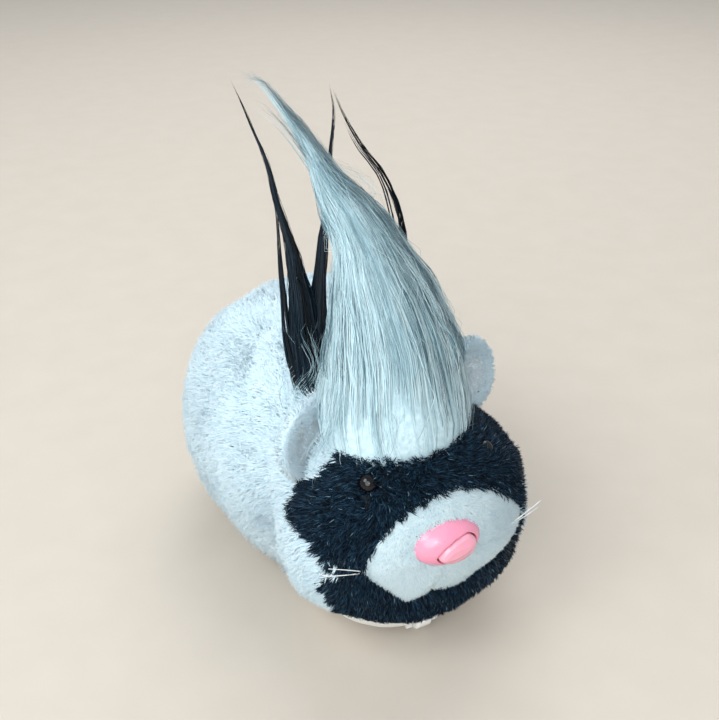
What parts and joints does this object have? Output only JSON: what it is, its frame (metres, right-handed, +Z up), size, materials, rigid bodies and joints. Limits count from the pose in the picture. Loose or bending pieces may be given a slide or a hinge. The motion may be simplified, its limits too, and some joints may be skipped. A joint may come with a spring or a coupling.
{
  "type": "motorised plush toy mouse",
  "caption": "Fluffy toy mouse with a black mask, a combed-up hair tuft and a pink nose button that starts hidden drive wheels under a hard inner shell.",
  "frame": {"origin": "on the floor under the middle of the toy's bounding box", "axes": "-Y towards the nose, +X to the toy's left, +Z up"},
  "size_m": [0.082, 0.1236, 0.142],
  "materials": {
    "plush_white": "long soft pile",
    "plush_black": "medium pile",
    "muzzle_white": "very short flocked pile",
    "hair_grey": "long straight synthetic hair",
    "hair_black": "long straight synthetic hair",
    "ear_lining": "short pile",
    "nose_pink": "smooth gloss",
    "eye_black": "polished",
    "bristle": "satin nylon",
    "shell_white": "satin",
    "gearbox_grey": "satin",
    "gear_white": "satin",
    "wheel_grey": "satin",
    "tyre_black": "matt",
    "steel": "bright",
    "motor_can": "bright",
    "brass": "machined",
    "board_green": "solder mask",
    "black_plastic": "satin",
    "cell_wrap": "printed sleeve with no marks",
    "lead_cover": "soft PVC"
  },
  "bodies": {
    "toy": {"chassis_base": "shell_white", "upper_shell": "shell_white", "chassis_screws": "steel", "cell_left": "cell_wrap", "cell_right": "cell_wrap", "contact_plate_front": "steel", "contact_spring_front": "steel", "contact_link_rear": "steel", "gearbox_left": "gearbox_grey", "gearbox_right": "gearbox_grey", "gearbox_screws": "steel", "gear_pins": "steel", "motor": "motor_can", "front_axle": "steel", "circuit_board": "board_green", "chip_blob": "black_plastic", "board_screws": "steel", "nose_switch": "black_plastic", "nose_bezel": "nose_pink", "nose_spring": "steel", "mode_switch": "steel", "speaker": "black_plastic", "speaker_ring": "shell_white", "speaker_screws": "steel", "motor_leads": "lead_cover", "battery_leads": "lead_cover", "speaker_leads": "lead_cover", "eye_left": "eye_black", "eye_right": "eye_black", "whiskers_left": "bristle", "whiskers_right": "bristle", "body_plush": "plush_white", "face_plush": "plush_black", "muzzle_plush": "muzzle_white", "ear_left": "plush_white", "ear_right": "plush_white", "ear_lining_left": "ear_lining", "ear_lining_right": "ear_lining", "hair_white": "hair_grey", "hair_black_left": "hair_black", "hair_black_middle": "hair_black", "hair_black_right": "hair_black"},
    "drive_axle": {"drive_axle": "steel", "axle_gear": "gear_white", "drive_wheel_left": "wheel_grey", "drive_wheel_right": "wheel_grey", "tyre_left": "tyre_black", "tyre_right": "tyre_black"},
    "second_gear": {"second_gear": "gear_white"},
    "first_gear": {"first_gear": "gear_white"},
    "motor_rotor": {"motor_shaft": "steel", "motor_pinion": "brass"},
    "front_wheel": {"front_wheel": "shell_white"},
    "nose_button": {"nose_button": "nose_pink"},
    "mode_slider": {"mode_slider": "black_plastic"},
    "battery_door": {"battery_door": "shell_white", "door_screw": "steel"}
  },
  "joints": [
    {"name": "drive_axle_spin", "type": "hinge", "parent": "toy", "child": "drive_axle", "pos_m": [0, 0.0298, 0.012], "axis": [1, 0, 0], "continuous": true},
    {"name": "second_gear_spin", "type": "hinge", "parent": "toy", "child": "second_gear", "pos_m": [0, 0.03455, 0.02023], "axis": [1, 0, 0], "continuous": true},
    {"name": "first_gear_spin", "type": "hinge", "parent": "toy", "child": "first_gear", "pos_m": [0, 0.03054, 0.02884], "axis": [1, 0, 0], "continuous": true},
    {"name": "motor_spin", "type": "hinge", "parent": "toy", "child": "motor_rotor", "pos_m": [0, 0.03529, 0.03706], "axis": [1, 0, 0], "continuous": true},
    {"name": "front_wheel_spin", "type": "hinge", "parent": "toy", "child": "front_wheel", "pos_m": [0, -0.0435, 0.005], "axis": [1, 0, 0], "continuous": true},
    {"name": "nose_press", "type": "slide", "parent": "toy", "child": "nose_button", "axis": [0, 1, 0], "range_m": [0, 0.0015], "stiffness_N_per_m": 400, "springref_m": -0.001, "deforming": ["nose_spring"]},
    {"name": "mode_slide", "type": "slide", "parent": "toy", "child": "mode_slider", "axis": [0, 1, 0], "range_m": [0, 0.003]},
    {"name": "battery_door_open", "type": "hinge", "parent": "toy", "child": "battery_door", "pos_m": [0, 0.0184, 0.0047], "axis": [1, 0, 0], "range_deg": [0, 95]}
  ],
  "couplings": [
    {"joint": "second_gear_spin", "follows": "drive_axle_spin", "ratio": -2.8},
    {"joint": "first_gear_spin", "follows": "drive_axle_spin", "ratio": 7.84},
    {"joint": "motor_spin", "follows": "drive_axle_spin", "ratio": -21.952}
  ]
}
